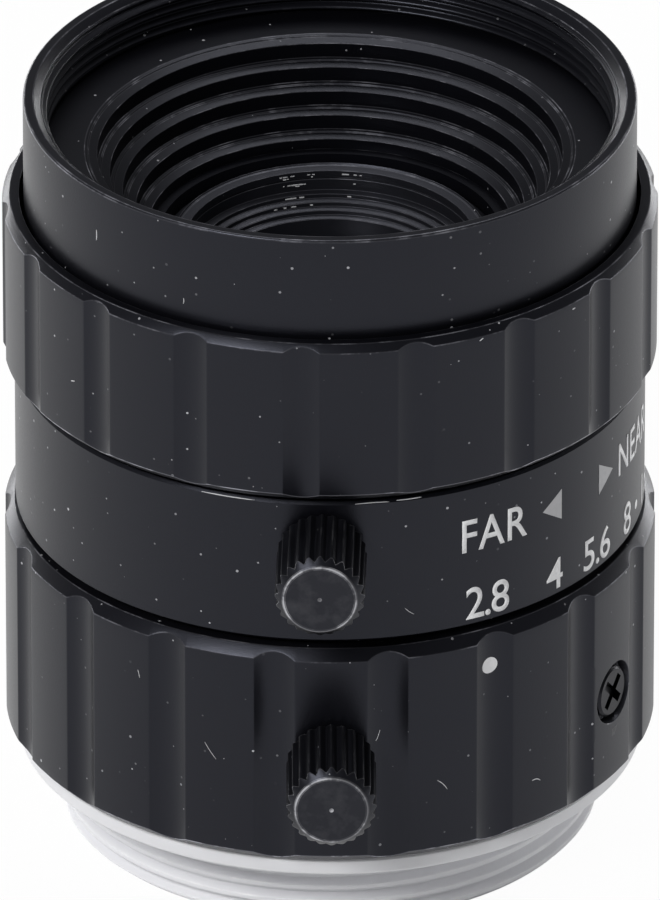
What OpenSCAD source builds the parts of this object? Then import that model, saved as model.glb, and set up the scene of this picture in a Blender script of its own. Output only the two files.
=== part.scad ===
// Fixed focal length machine vision lens with a one inch camera thread.
// The origin is on the optical axis in the plane of the flange's seat, +Z looks out of the
// front of the lens, and the focus lock screw stands on the -Y side.
// Angles around the axis start at -Y and grow towards +X. All sizes are in millimetres.
// The rest pose is focused at infinity with the iris wide open.

/* [Camera mount] */
// Radius over the crests of the camera thread
thread_r = 12.7; // [12.3:0.05:12.95]
// Length of the thread behind the flange
thread_len = 3.85; // [3.4:0.05:4.4]
// Wall between the thread's crests and the light path
mount_wall = 1.3; // [1:0.05:1.6]
// Thickness of the flange
flange_t = 0.84; // [0.7:0.02:1.2]
// How far the flange's rim stands inside the rings' rim
flange_step = 0.7; // [0.5:0.05:0.9]
// Chamfer at the start of the thread
thread_chamfer = 0.4; // [0.2:0.05:0.6]
// Length of the spigot that goes up into the barrel
spigot_len = 2.2; // [1.6:0.1:2.6]

/* [Outer diameters] */
// Wall of the focus ring outside the front barrel
ring_wall = 0.92; // [0.8:0.02:1.3]
// Wall of the iris ring outside the rear sleeve
iris_wall = 1.2; // [1.1:0.05:1.5]
// How far the middle band stands inside the rings' rim
band_step = 0.65; // [0.5:0.05:0.8]

/* [Heights] */
// Height of the iris ring
iris_ring_h = 11.35; // [11:0.05:12]
// Height of the middle band
band_h = 7.7; // [7.2:0.1:9]
// Height of the focus ring
focus_ring_h = 8.2; // [7.6:0.1:9.5]
// Height of the front barrel above the focus ring
front_show = 5.05; // [4.6:0.05:6]
// Gap between the flange and the iris ring
flange_gap = 0.11; // [0.05:0.01:0.2]
// Gap between the iris ring and the middle band
band_gap = 0.3; // [0.2:0.05:0.4]
// Gap between the middle band and the focus ring
focus_gap = 0.05; // [0.03:0.01:0.1]

/* [Rings] */
// Number of flutes around each ring
flute_count = 18; // [12:1:24]
// Depth of a flute of the iris ring
iris_flute_depth = 0.3; // [0.15:0.01:0.4]
// Depth of a flute of the focus ring
focus_flute_depth = 0.22; // [0.15:0.01:0.3]
// Radius of the cutter that makes a flute
flute_cutter_r = 1.9; // [1.6:0.1:3]
// Chamfer at the upper edge of the iris ring
iris_top_chamfer = 0.5; // [0.3:0.05:0.6]
// Chamfer at the lower edge of the iris ring
iris_low_chamfer = 0.42; // [0.3:0.02:0.6]
// Chamfer at both edges of the focus ring
focus_chamfer = 0.35; // [0.2:0.05:0.5]
// Chamfer at both edges of the middle band
band_chamfer = 0.14; // [0.08:0.02:0.3]
// Drop of the middle band's outer shoulder, which leaves a dark line under the focus ring
band_relief = 0.25; // [0.15:0.05:0.4]
// Angle at which the iris ring is set
iris_ring_set = 1.6; // [0:0.1:3]
// Angle of the focus ring's first flute
focus_ring_phase = -3.6; // [-10:0.1:10]
// Turn of the iris ring from wide open to its smallest stop
iris_turn = 54; // [40:1:56]

/* [Focusing] */
// Forward travel of the lens cell when focusing
focus_travel = 2.5; // [1.5:0.1:2.8]
// Wall of the sleeve under the iris ring
sleeve_wall = 1.25; // [1.1:0.05:1.4]
// Space between the rear sleeve and the lens cell
cell_space = 2.05; // [1.9:0.05:2.3]
// Wall of the lens cell around the iris
cell_wall = 0.95; // [0.8:0.05:1.2]
// Thickness of the focus ring's inner flange
focus_web_t = 1.65; // [1.3:0.05:2]
// Height of the ring that keeps the focus ring on
keeper_h = 0.85; // [0.6:0.05:1]
// Wall of the front barrel around the cell's flange
skirt_wall = 1; // [0.8:0.05:1.2]
// Thickness of the lens cell's flange
cell_flange_t = 1; // [0.8:0.1:1.3]
// Radius of the pins that keep the cell from turning
guide_pin_r = 0.75; // [0.6:0.05:1]

/* [Front hood] */
// Depth of the hood from the rim to the lens cell
hood_depth = 7.4; // [7.2:0.1:8]
// Depth of the filter thread
filter_depth = 2.3; // [2:0.1:2.4]
// Wall outside the filter thread
filter_wall = 0.5; // [0.4:0.05:0.6]
// Chamfer around the rim
rim_chamfer = 0.3; // [0.15:0.05:0.35]
// Number of steps in the light trap
trap_steps = 5; // [3:1:5]
// Width and drop of one step of the light trap
trap_step = 0.85; // [0.7:0.05:0.88]
// Depth of the light trap's first edge below the rim
trap_depth = 3.1; // [2.9:0.05:3.2]

/* [Lock screws] */
// Radius over the knurl of a lock screw
knob_r = 2.1; // [1.8:0.05:2.4]
// Length of a lock screw's knurled head
knob_len = 4.62; // [4:0.1:5.5]
// Chamfer at the ends of a knurled head
knob_chamfer = 0.4; // [0.2:0.05:0.5]
// Number of teeth in a knurl
knurl_teeth = 24; // [16:1:30]
// Depth of a knurl
knurl_depth = 0.19; // [0.1:0.01:0.25]
// Radius of a lock screw's shank
shank_r = 1; // [0.8:0.05:1.2]
// Height of the iris lock screw above the iris ring's lower edge
iris_lock_up = 5.65; // [4:0.1:7]
// Height of the focus lock screw above the middle band's lower edge
focus_lock_up = 4.9; // [3:0.1:5]

/* [Iris drive] */
// Angle of the drive screw from the iris lock screw
drive_angle = 60.4; // [56:0.1:64]
// Height of the drive screw above the iris ring's lower edge
drive_up = 4.85; // [4.4:0.05:5.4]
// Radius of the drive screw's head
drive_head_r = 1.25; // [1.1:0.05:1.4]
// Thickness of the drive screw's head
drive_head_t = 0.5; // [0.4:0.05:0.6]
// Radius of the drive screw's shank
drive_shank_r = 0.7; // [0.5:0.05:0.8]
// Radius of the recess around the drive screw's head
drive_recess_r = 1.57; // [1.5:0.05:1.8]
// Depth of the recess around the drive screw's head
drive_recess_t = 0.72; // [0.6:0.02:0.8]
// Thickness of the drive arm in the radial direction
arm_t = 0.8; // [0.6:0.05:0.9]
// Half of the angle that the drive arm covers
arm_half = 8; // [7:0.5:10]

/* [Iris diaphragm] */
// Radius of the inner edge of an open blade
blade_in_r = 5.3; // [5:0.05:5.6]
// Width of a blade
blade_w = 2.1; // [1.9:0.05:2.2]
// Thickness of a blade
blade_t = 0.06; // [0.04:0.01:0.08]
// Height of one level of the stack of blades
blade_pitch = 0.1; // [0.09:0.01:0.12]
// Distance from an open blade's inner edge out to its pivot
pivot_out = 3.3; // [3.2:0.05:3.4]
// Distance from a blade's pivot to its drive pin
lever = 3.4; // [3.2:0.05:3.5]
// How far the circle of drive pins stands outside the circle of pivots
drive_out = 0.3; // [0.2:0.05:0.4]
// Radius of the pins on a blade
blade_pin_r = 0.3; // [0.2:0.02:0.34]
// Turn of a blade from open to closed
blade_swing = 29.5; // [24:0.5:30]
// Angle that a blade reaches from its pivot
blade_reach = 125; // [115:1:128]
// Thickness of the slotted rotor
rotor_t = 0.9; // [0.7:0.05:1.1]
// Thickness of the plate that holds the blade pivots
plate_t = 0.8; // [0.6:0.05:1]

/* [Optics] */
// Radius of the inner elements
inner_glass_r = 6.85; // [6.6:0.05:7]
// How far the front element stands outside the inner elements
front_glass_out = 1.15; // [0.9:0.05:1.3]
// Radius of the elements behind the iris
rear_glass_r = 6.45; // [6.2:0.05:6.8]
// Width of the flat rim around each element
glass_rim = 1; // [0.8:0.05:1.2]
// Edge thickness of the front element
front_glass_t = 3.2; // [2.8:0.1:3.6]
// Edge thickness of the second element
second_glass_t = 2.4; // [2:0.1:2.8]
// Edge thickness of the third element
third_glass_t = 2.7; // [2.4:0.1:3]
// Edge thickness of the fourth element
fourth_glass_t = 1.7; // [1.5:0.1:1.9]
// Edge thickness of the rear element
rear_glass_t = 1.9; // [1.7:0.1:2.1]
// Length of the spacer behind the front element
front_spacer_t = 1.9; // [1.6:0.1:2.4]
// Length of the spacer between the second and third elements
middle_spacer_t = 1.6; // [1.4:0.1:2]
// Length of the spacer between the rear elements
rear_spacer_t = 0.7; // [0.5:0.1:0.9]
// Number of fine steps down the cone of the front retaining ring
groove_count = 3; // [2:1:3]
// Drop of one fine step
groove_pitch = 0.29; // [0.24:0.01:0.3]

/* [Fits] */
// Clearance between a ring and the sleeve that it turns on
run_fit = 0.05; // [0.02:0.01:0.08]
// Clearance between the focus ring and the front barrel
turn_fit = 0.08; // [0.04:0.01:0.1]
// Clearance between pieces that are screwed together
thread_fit = 0.02; // [0.01:0.01:0.04]
// Clearance around a pin or shank in its hole
pin_fit = 0.04; // [0.02:0.01:0.08]
// Free gap between pieces that pass each other
pass_gap = 0.3; // [0.2:0.05:0.4]

/* [Hidden] */
$fn = 96;
blade_count = 6;

// Heights along the axis
iris_z0 = flange_t + flange_gap;
iris_z1 = iris_z0 + iris_ring_h;
band_z0 = iris_z1 + band_gap;
band_z1 = band_z0 + band_h;
focus_z0 = band_z1 + focus_gap;
focus_z1 = focus_z0 + focus_ring_h;
rim_z = focus_z1 + front_show;
cell_top = rim_z - hood_depth;

// Radii from the iris outwards
pivot_circle_r = blade_in_r + pivot_out;
drive_circle_r = pivot_circle_r + drive_out;
iris_bore = drive_circle_r + 1.1;
cell_r = iris_bore + cell_wall;
cell_bore_r = cell_r + run_fit;
sleeve_bore_r = cell_r + cell_space;
sleeve_r = sleeve_bore_r + sleeve_wall;
iris_bore_r = sleeve_r + run_fit;
ring_r = iris_bore_r + iris_wall;
band_r = ring_r - band_step;
flange_r = ring_r - flange_step;
focus_bore_r = ring_r - ring_wall;
front_r = focus_bore_r - turn_fit;
neck_r = front_r - skirt_wall - pass_gap;
cell_flange_r = front_r - skirt_wall - thread_fit;

// Mount bore and the light baffle in it
mount_bore_r = thread_r - mount_wall;
baffle_lip = 0.5;
baffle_t = 0.7;
baffle_w = 4.35;
baffle_slope = 0.3;
baffle_z1 = flange_t - baffle_lip;
mount_lip_r = cell_r - 0.05;

// Focusing stack above the middle band
web_z1 = focus_z0 + focus_web_t;
keeper_z0 = web_z1 + focus_gap;
keeper_z1 = keeper_z0 + keeper_h;
neck_z1 = keeper_z1 + 0.1;
skirt_z0 = keeper_z1 + pass_gap;
cell_flange_z0 = neck_z1 + pass_gap + 0.1;
cell_flange_z1 = cell_flange_z0 + cell_flange_t;
shelf_t = 0.8;

// Iris stack, from the drive screw upwards
drive_z = iris_z0 + drive_up;
rotor_z0 = drive_z + drive_shank_r + 0.95;
rotor_z1 = rotor_z0 + rotor_t;
plate_z0 = rotor_z1 + blade_count * blade_pitch + 0.05;
plate_z1 = plate_z0 + plate_t;
glass_z0 = plate_z1 + 0.9;
iris_clear_r = blade_in_r;
notch_r = iris_bore - 0.55;
drive_a = iris_ring_set + drive_angle;
arm_r0 = cell_r + pass_gap;
arm_r1 = arm_r0 + arm_t;
arm_play = 0.4;
arm_foot = 0.6;
tab_half = 6;
slot_half = drive_shank_r + 0.2;
slot_spare = 5;

// Glass stack from the iris forwards
front_glass_r = inner_glass_r + front_glass_out;
third_z0 = glass_z0;
third_z1 = third_z0 + third_glass_t;
second_z0 = third_z1 + middle_spacer_t;
second_z1 = second_z0 + second_glass_t;
seat_z = second_z1;
front_z0 = seat_z + front_spacer_t;
front_z1 = front_z0 + front_glass_t;
front_sag = 1;
inner_sag = 0.7;

// The guide pins sit in the thick wall between the second and third elements
guide_z = third_z1 + middle_spacer_t / 2;
guide_depth = 1.1;
guide_show = 1.2;

// Front retaining ring: a flat top, an upright wall with one groove, a ledge, and a cone that
// goes down in fine steps
nut_r = front_glass_r + 0.05;
nut_top = cell_top - 0.1;
nut_chamfer = 0.4;
nut_wall_r = nut_r - 1.25;
nut_wall_h = 1.15;
nut_ledge_r = nut_wall_r - 0.44;
nut_ledge_z = nut_top - nut_wall_h;
nut_groove_z = nut_top - 0.5;
nut_groove = 0.08;
nut_bore_r = nut_ledge_r - groove_count * groove_pitch;
nut_steps = [
    for (i = [0:groove_count - 1])
        for (p = [[0, 0], [0, -0.7], [-0.7, -1]])
            [nut_ledge_r + (p[0] - i) * groove_pitch, nut_ledge_z + (p[1] - i) * groove_pitch]
];
nut_relief = 0.5;

// Filter thread and hood, from the rim inwards
filter_r = front_r - filter_wall;
filter_z0 = rim_z - filter_depth;
trap_seat_r = filter_r - 0.4;
trap_seat_z = filter_z0 - 1.2;
hood_bore_r = trap_seat_r - 0.6;
hood_web_r = cell_flange_r - 1.4;

// The steps of the light trap, going down: a riser, then a tread that runs inwards
trap_z = rim_z - trap_depth;
trap_low_r = nut_r + 0.05;
trap_r = trap_low_r + (trap_steps - 1) * trap_step;
trap_foot = 1.35;
trap_nose = 0.1;
trap_inside = [
    for (i = [0:trap_steps - 1])
        for (p = [[trap_nose, 0], [0, -trap_nose], [0, -trap_step]])
            if (i < trap_steps - 1 || p[1] > -trap_step)
                [trap_r - i * trap_step + p[0], trap_z - i * trap_step + p[1]]
];

// Glass stack from the iris backwards
rear_cell_z1 = rotor_z0 - focus_gap;
rear_lip_t = 0.8;
fourth_z1 = rear_cell_z1 - rear_lip_t;
fourth_z0 = fourth_z1 - fourth_glass_t;
rear_glass_z1 = fourth_z0 - rear_spacer_t;
rear_glass_z0 = rear_glass_z1 - rear_glass_t;
rear_nut_t = 0.7;
cell_z0 = rear_glass_z0 - rear_nut_t - 0.2;

// Cam path of the iris: the point of the drive pin in the rotor's own frame
function polar(r, a) = [r * sin(a), -r * cos(a)];
function turned(p, a) = [p[0] * cos(a) - p[1] * sin(a), p[0] * sin(a) + p[1] * cos(a)];
pivot_p = polar(pivot_circle_r, 0);
lever_cos = (pow(pivot_circle_r, 2) + pow(drive_circle_r, 2) - pow(lever, 2))
    / (2 * pivot_circle_r * drive_circle_r);
drive_pin_a = acos(lever_cos);
drive_p = polar(drive_circle_r, drive_pin_a);
function pin_at(b) = pivot_p + turned(drive_p - pivot_p, b);
function cam_at(s) = turned(pin_at(s * blade_swing), -s * iris_turn);
cam_steps = 24;
cam_half = blade_pin_r + pin_fit + 0.02;
function cam_dir(s) = let(d = cam_at(s + 0.01) - cam_at(s - 0.01)) d / norm(d);
function cam_side(s, w) = let(d = cam_dir(s)) cam_at(s) + [-d[1], d[0]] * w;
cam_outline = concat(
    [for (i = [0:cam_steps]) cam_side(i / cam_steps, cam_half)],
    [for (i = [cam_steps:-1:0]) cam_side(i / cam_steps, -cam_half)]
);

black = [0.16, 0.16, 0.18];
soft_black = [0.1, 0.1, 0.11];
steel = [0.55, 0.56, 0.58];
silver = [0.84, 0.85, 0.87];
glass = [0.5, 0.58, 0.62, 0.5];

// A ring of the given radii between two heights.
module tube(r_out, r_in, z0, z1) {
    difference() {
        translate([0, 0, z0]) cylinder(r = r_out, h = z1 - z0);
        translate([0, 0, z0 - 1]) cylinder(r = r_in, h = z1 - z0 + 2);
    }
}

// A wedge of a disc between two angles, used to cut arcs out of rings.
module wedge(r, a0, a1, z0, z1) {
    steps = ceil((a1 - a0) / 20);
    points = [for (i = [0:steps]) polar(r * 1.2, a0 + (a1 - a0) * i / steps)];
    translate([0, 0, z0]) linear_extrude(z1 - z0) polygon(concat([[0, 0]], points));
}

// Part of a ring between two angles.
module arc_band(r_out, r_in, a0, a1, z0, z1) {
    intersection() {
        tube(r_out, r_in, z0, z1);
        wedge(r_out, a0, a1, z0 - 1, z1 + 1);
    }
}

// Puts a shape that stands along Z on a radius, pointing away from the axis.
module radial(a, r, z) {
    rotate([0, 0, a]) translate([0, -r, z]) rotate([90, 0, 0]) children();
}

// Concave flutes cut around a ring by a round cutter.
module flutes(phase, depth, z0, z1) {
    for (i = [0:flute_count - 1]) {
        rotate([0, 0, phase + i * 360 / flute_count])
            translate([0, -(ring_r - depth + flute_cutter_r), z0 - 1])
                cylinder(r = flute_cutter_r, h = z1 - z0 + 2);
    }
}

// The cap of a ball: radius a at its base and height s.
module cap(a, s) {
    ball_r = (a * a + s * s) / (2 * s);
    intersection() {
        translate([0, 0, s - ball_r]) sphere(r = ball_r, $fn = 160);
        cylinder(r = a + 1, h = s + 1);
    }
}

// A lens element: a glass disc whose faces bulge out or are hollowed by the given heights.
module element(r, z0, z1, top, bottom) {
    a = r - glass_rim;
    color(glass) difference() {
        union() {
            translate([0, 0, z0]) cylinder(r = r, h = z1 - z0);
            if (top > 0) translate([0, 0, z1]) cap(a, top);
            if (bottom > 0) translate([0, 0, z0]) mirror([0, 0, 1]) cap(a, bottom);
        }
        if (top < 0) translate([0, 0, z1]) mirror([0, 0, 1]) cap(a, -top);
        if (bottom < 0) translate([0, 0, z0]) cap(a, -bottom);
    }
}

// A thumbscrew that stands along Z, its head's underside at zero.
module thumbscrew(shank_len) {
    teeth = [
        for (i = [0:2 * knurl_teeth - 1])
            polar(knob_r - (i % 2) * knurl_depth, i * 180 / knurl_teeth)
    ];
    difference() {
        union() {
            intersection() {
                linear_extrude(knob_len) polygon(teeth);
                rotate_extrude() polygon([
                    [0, 0],
                    [knob_r - knob_chamfer / 2, 0],
                    [knob_r, knob_chamfer / 2],
                    [knob_r, knob_len - knob_chamfer],
                    [knob_r - knob_chamfer, knob_len],
                    [0, knob_len]
                ]);
            }
            translate([0, 0, -shank_len]) cylinder(r = shank_r, h = shank_len + 0.1, $fn = 48);
        }
        translate([0, 0, knob_len - 0.12]) cylinder(r = 0.16, h = 0.2, $fn = 24);
    }
}

module c_mount_ring() {
    color(silver) rotate_extrude() polygon([
        [mount_bore_r, -thread_len],
        [thread_r - thread_chamfer, -thread_len],
        [thread_r, thread_chamfer - thread_len],
        [thread_r, 0],
        [flange_r, 0],
        [flange_r, flange_t],
        [sleeve_bore_r - thread_fit, flange_t],
        [sleeve_bore_r - thread_fit, flange_t + spigot_len],
        [arm_r1 + pass_gap, flange_t + spigot_len],
        [arm_r1 + pass_gap, flange_t],
        [mount_lip_r, flange_t],
        [mount_lip_r, baffle_z1],
        [mount_bore_r, baffle_z1]
    ]);
}

module rear_light_baffle() {
    color(soft_black) rotate_extrude() polygon([
        [mount_bore_r - thread_fit, baffle_z1 - baffle_t],
        [mount_bore_r - thread_fit, baffle_z1],
        [mount_bore_r - baffle_w, baffle_z1],
        [mount_bore_r - baffle_w + baffle_slope, baffle_z1 - baffle_t]
    ]);
}

module main_barrel() {
    color(black) difference() {
        rotate_extrude() polygon([
            [sleeve_bore_r, flange_t],
            [sleeve_r, flange_t],
            [sleeve_r, band_z0],
            [band_r - band_chamfer, band_z0],
            [band_r, band_z0 + band_chamfer],
            [band_r, band_z1 - band_relief - band_chamfer],
            [band_r - band_chamfer, band_z1 - band_relief],
            [focus_bore_r - pass_gap, band_z1 - band_relief],
            [focus_bore_r - pass_gap, band_z1],
            [neck_r, band_z1],
            [neck_r, neck_z1],
            [cell_bore_r, neck_z1],
            [cell_bore_r, band_z0 - shelf_t],
            [sleeve_bore_r, band_z0 - shelf_t]
        ]);
        radial(0, 0, band_z0 + focus_lock_up) cylinder(r = shank_r + pin_fit, h = band_r + 1, $fn = 48);
        arc_band(sleeve_r + 1, sleeve_bore_r - 1, drive_a - slot_spare, drive_a + iris_turn + slot_spare,
            drive_z - slot_half, drive_z + slot_half);
        for (side = [90, 270]) {
            rotate([0, 0, side])
                translate([-guide_pin_r - pin_fit, -cell_bore_r - guide_show - pass_gap, 0])
                    translate([0, 0, guide_z - guide_pin_r - pass_gap])
                        cube([2 * (guide_pin_r + pin_fit), 2 * (guide_show + pass_gap), neck_z1]);
        }
    }
}

module cell_guide_pins() {
    pin_len = guide_depth + run_fit + guide_show;
    color(steel) for (side = [90, 270]) {
        radial(side, cell_r - guide_depth, guide_z) cylinder(r = guide_pin_r, h = pin_len, $fn = 48);
    }
}

module focus_retaining_ring() {
    color(black) difference() {
        tube(focus_bore_r - pass_gap, neck_r + thread_fit, keeper_z0, keeper_z1);
        for (a = [0:90:270]) {
            rotate([0, 0, a + 45])
                translate([-0.5, -focus_bore_r, keeper_z1 - keeper_h / 2])
                    cube([1, 1, keeper_h]);
        }
    }
}

module focus_ring() {
    color(black) difference() {
        rotate_extrude() polygon([
            [neck_r + run_fit, focus_z0],
            [ring_r - focus_chamfer, focus_z0],
            [ring_r, focus_z0 + focus_chamfer],
            [ring_r, focus_z1 - focus_chamfer],
            [ring_r - focus_chamfer, focus_z1],
            [focus_bore_r, focus_z1],
            [focus_bore_r, web_z1],
            [neck_r + run_fit, web_z1]
        ]);
        flutes(focus_ring_phase, focus_flute_depth, focus_z0, focus_z1);
    }
}

module front_barrel() {
    color(black) rotate_extrude() polygon([
        [front_r - skirt_wall, skirt_z0],
        [front_r, skirt_z0],
        [front_r, rim_z - rim_chamfer],
        [front_r - rim_chamfer, rim_z],
        [filter_r + 0.04, rim_z],
        [filter_r, rim_z - 0.1],
        [filter_r, filter_z0],
        [trap_seat_r, filter_z0],
        [trap_seat_r, trap_seat_z],
        [hood_bore_r, trap_seat_z],
        [hood_bore_r, cell_flange_z1 + 0.8],
        [hood_web_r, cell_flange_z1 + 0.8],
        [hood_web_r, cell_flange_z1],
        [front_r - skirt_wall, cell_flange_z1]
    ]);
}

module stepped_baffle() {
    color(soft_black) rotate_extrude() polygon(concat(
        [
            [trap_low_r, cell_top],
            [trap_low_r + trap_foot, cell_top],
            [hood_bore_r - thread_fit, trap_seat_z - 1],
            [hood_bore_r - thread_fit, trap_seat_z],
            [trap_seat_r - thread_fit, trap_seat_z],
            [trap_seat_r - thread_fit, filter_z0 - 0.1]
        ],
        trap_inside
    ));
}

module lens_cell() {
    tab_gap = 0.1;
    foot_r = trap_low_r + trap_foot + 0.05;
    color(black) difference() {
        rotate_extrude() polygon([
            [iris_bore, cell_z0],
            [cell_r, cell_z0],
            [cell_r, cell_flange_z0],
            [cell_flange_r, cell_flange_z0],
            [cell_flange_r, cell_flange_z1],
            [foot_r, cell_flange_z1],
            [foot_r, cell_top],
            [nut_r, cell_top],
            [nut_r, seat_z],
            [inner_glass_r + thread_fit, seat_z],
            [inner_glass_r + thread_fit, glass_z0],
            [inner_glass_r - glass_rim, glass_z0],
            [inner_glass_r - glass_rim, plate_z1],
            [iris_bore, plate_z1]
        ]);
        for (side = [90, 270]) {
            radial(side, cell_r - guide_depth, guide_z)
                cylinder(r = guide_pin_r + thread_fit / 2, h = 2 * guide_depth, $fn = 48);
        }
        arc_band(cell_r + 1, iris_bore - 1, drive_a - tab_half - 2, drive_a + iris_turn + tab_half + 2,
            rotor_z0 - tab_gap, rotor_z1 + tab_gap);
    }
}

module front_retaining_ring() {
    color(soft_black) rotate_extrude() polygon(concat(
        [
            [nut_bore_r, front_z1 + nut_relief],
            [front_glass_r - glass_rim + 0.05, front_z1],
            [nut_r - thread_fit, front_z1],
            [nut_r - thread_fit, nut_top - nut_chamfer],
            [nut_r - nut_chamfer, nut_top],
            [nut_wall_r, nut_top],
            [nut_wall_r, nut_groove_z],
            [nut_wall_r + nut_groove, nut_groove_z - nut_groove / 2],
            [nut_wall_r, nut_groove_z - nut_groove],
            [nut_wall_r, nut_ledge_z]
        ],
        nut_steps,
        [[nut_bore_r, nut_ledge_z - groove_count * groove_pitch]]
    ));
}

module front_element() {
    element(front_glass_r, front_z0, front_z1, front_sag, -inner_sag);
}

module front_spacer() {
    color(soft_black) difference() {
        tube(front_glass_r, inner_glass_r - glass_rim, seat_z, front_z0);
        translate([0, 0, seat_z]) cylinder(r = inner_glass_r - glass_rim + 0.6, h = front_spacer_t / 2);
    }
}

module second_element() {
    element(inner_glass_r, second_z0, second_z1, inner_sag, -inner_sag);
}

module middle_spacer() {
    color(soft_black) tube(inner_glass_r, inner_glass_r - glass_rim, third_z1, second_z0);
}

module third_element() {
    element(inner_glass_r, third_z0, third_z1, inner_sag, -inner_sag);
}

module iris_pivot_plate() {
    color(soft_black) difference() {
        tube(iris_bore - thread_fit, iris_clear_r, plate_z0, plate_z1);
        for (i = [0:blade_count - 1]) {
            rotate([0, 0, i * 360 / blade_count]) translate([pivot_p[0], pivot_p[1], plate_z0 - 1])
                cylinder(r = blade_pin_r + pin_fit, h = plate_t + 2, $fn = 32);
        }
    }
}

// One leaf of the iris: a curved blade with an ear that carries both of its pins.
module iris_blade(number) {
    level = number - 1;
    top = plate_z0 - 0.04 - level * blade_pitch;
    low = top - blade_t;
    mid_r = blade_in_r + blade_w / 2;
    color(soft_black) rotate([0, 0, level * 360 / blade_count]) {
        arc_band(blade_in_r + blade_w, blade_in_r, -4, blade_reach, low, top);
        translate([0, 0, low]) {
            translate(concat(polar(mid_r, blade_reach), 0)) cylinder(r = blade_w / 2, h = blade_t, $fn = 48);
            translate(pivot_p) cylinder(r = 0.75, h = blade_t, $fn = 48);
            translate(drive_p) cylinder(r = 0.6, h = blade_t, $fn = 48);
        }
        arc_band(drive_circle_r + 0.3, blade_in_r + 0.5, -4, drive_pin_a + 3, low, top);
        translate([pivot_p[0], pivot_p[1], low])
            cylinder(r = blade_pin_r, h = plate_z1 - 0.1 - low, $fn = 32);
        translate([drive_p[0], drive_p[1], rotor_z0 + 0.15])
            cylinder(r = blade_pin_r, h = top - rotor_z0 - 0.15, $fn = 32);
    }
}

module iris_rotor() {
    color(steel) difference() {
        tube(iris_bore - 0.1, iris_clear_r + 0.3, rotor_z0, rotor_z1);
        for (i = [0:blade_count - 1]) {
            rotate([0, 0, i * 360 / blade_count]) translate([0, 0, rotor_z0 - 1]) {
                linear_extrude(rotor_t + 2) polygon(cam_outline);
                translate(cam_at(0)) cylinder(r = cam_half, h = rotor_t + 2, $fn = 32);
                translate(cam_at(1)) cylinder(r = cam_half, h = rotor_t + 2, $fn = 32);
            }
        }
        arc_band(iris_bore + 1, notch_r, drive_a - tab_half, drive_a + tab_half, rotor_z0 - 1, rotor_z1 + 1);
    }
}

// Carries the iris ring's turn in to the rotor: its tab sits in the notch in the rotor's edge,
// and its slot lets the drive screw stay where it is while the lens cell slides.
module iris_drive_arm() {
    low = drive_z - focus_travel - drive_shank_r - arm_play - arm_foot;
    slot_w = 2 * (drive_shank_r + pin_fit);
    slot_h = focus_travel + 2 * (drive_shank_r + arm_play);
    tab_a = tab_half - 0.15;
    color(steel) difference() {
        union() {
            arc_band(arm_r1, arm_r0, drive_a - arm_half, drive_a + arm_half, low, rotor_z1 + 0.25);
            arc_band(arm_r0 + 0.1, notch_r + thread_fit, drive_a - tab_a, drive_a + tab_a,
                rotor_z0, rotor_z1);
        }
        rotate([0, 0, drive_a])
            translate([-slot_w / 2, -arm_r1 - 1, low + arm_foot])
                cube([slot_w, arm_t + 2, slot_h]);
    }
}

module rear_cell() {
    color(black) rotate_extrude() polygon([
        [rear_glass_r + thread_fit, cell_z0 + 0.2],
        [iris_bore - thread_fit, cell_z0 + 0.2],
        [iris_bore - thread_fit, rear_cell_z1],
        [rear_glass_r - glass_rim, rear_cell_z1],
        [rear_glass_r - glass_rim, fourth_z1],
        [rear_glass_r + thread_fit, fourth_z1]
    ]);
}

module fourth_element() {
    element(rear_glass_r, fourth_z0, fourth_z1, -0.5, 0.3);
}

module rear_spacer() {
    color(soft_black) tube(rear_glass_r, rear_glass_r - glass_rim + 0.1, rear_glass_z1, fourth_z0);
}

module rear_element() {
    element(rear_glass_r, rear_glass_z0, rear_glass_z1, 0.3, 0.55);
}

module rear_retaining_ring() {
    color(soft_black) difference() {
        tube(rear_glass_r, rear_glass_r - glass_rim, rear_glass_z0 - rear_nut_t, rear_glass_z0);
        for (side = [0, 180]) {
            rotate([0, 0, side + 45])
                translate([-0.5, -rear_glass_r - 0.5, rear_glass_z0 - rear_nut_t - 1])
                    cube([1, glass_rim + 1, 1.4]);
        }
    }
}

module iris_ring() {
    lock_z = iris_z0 + iris_lock_up;
    color(black) rotate([0, 0, iris_ring_set]) difference() {
        rotate_extrude() polygon([
            [iris_bore_r, iris_z0],
            [ring_r - iris_low_chamfer, iris_z0],
            [ring_r, iris_z0 + iris_low_chamfer],
            [ring_r, iris_z1 - iris_top_chamfer],
            [ring_r - iris_top_chamfer, iris_z1],
            [iris_bore_r, iris_z1]
        ]);
        flutes(180 / flute_count, iris_flute_depth, iris_z0, iris_z1);
        radial(0, 0, lock_z) cylinder(r = shank_r + pin_fit, h = ring_r + 1, $fn = 48);
        radial(drive_angle, 0, drive_z) cylinder(r = drive_shank_r + pin_fit, h = ring_r + 1, $fn = 48);
        radial(drive_angle, ring_r - drive_recess_t, drive_z) cylinder(r = drive_recess_r, h = 2, $fn = 64);
    }
}

module iris_drive_screw() {
    cross_w = 0.42;
    cross_len = 1.8;
    cross_depth = 0.36;
    head_edge = 0.12;
    seat_r = ring_r - drive_recess_t;
    arm_grip = seat_r - arm_r0 - 0.1;
    color(steel) radial(drive_a, seat_r, drive_z) difference() {
        union() {
            cylinder(r = drive_head_r, h = drive_head_t - head_edge, $fn = 64);
            translate([0, 0, drive_head_t - head_edge])
                cylinder(r1 = drive_head_r, r2 = drive_head_r - head_edge, h = head_edge, $fn = 64);
            translate([0, 0, -arm_grip]) cylinder(r = drive_shank_r, h = arm_grip + 0.1, $fn = 48);
        }
        for (a = [45, 135]) {
            rotate([0, 0, a])
                translate([-cross_w / 2, -cross_len / 2, drive_head_t - cross_depth])
                    cube([cross_w, cross_len, 1]);
        }
    }
}

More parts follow.
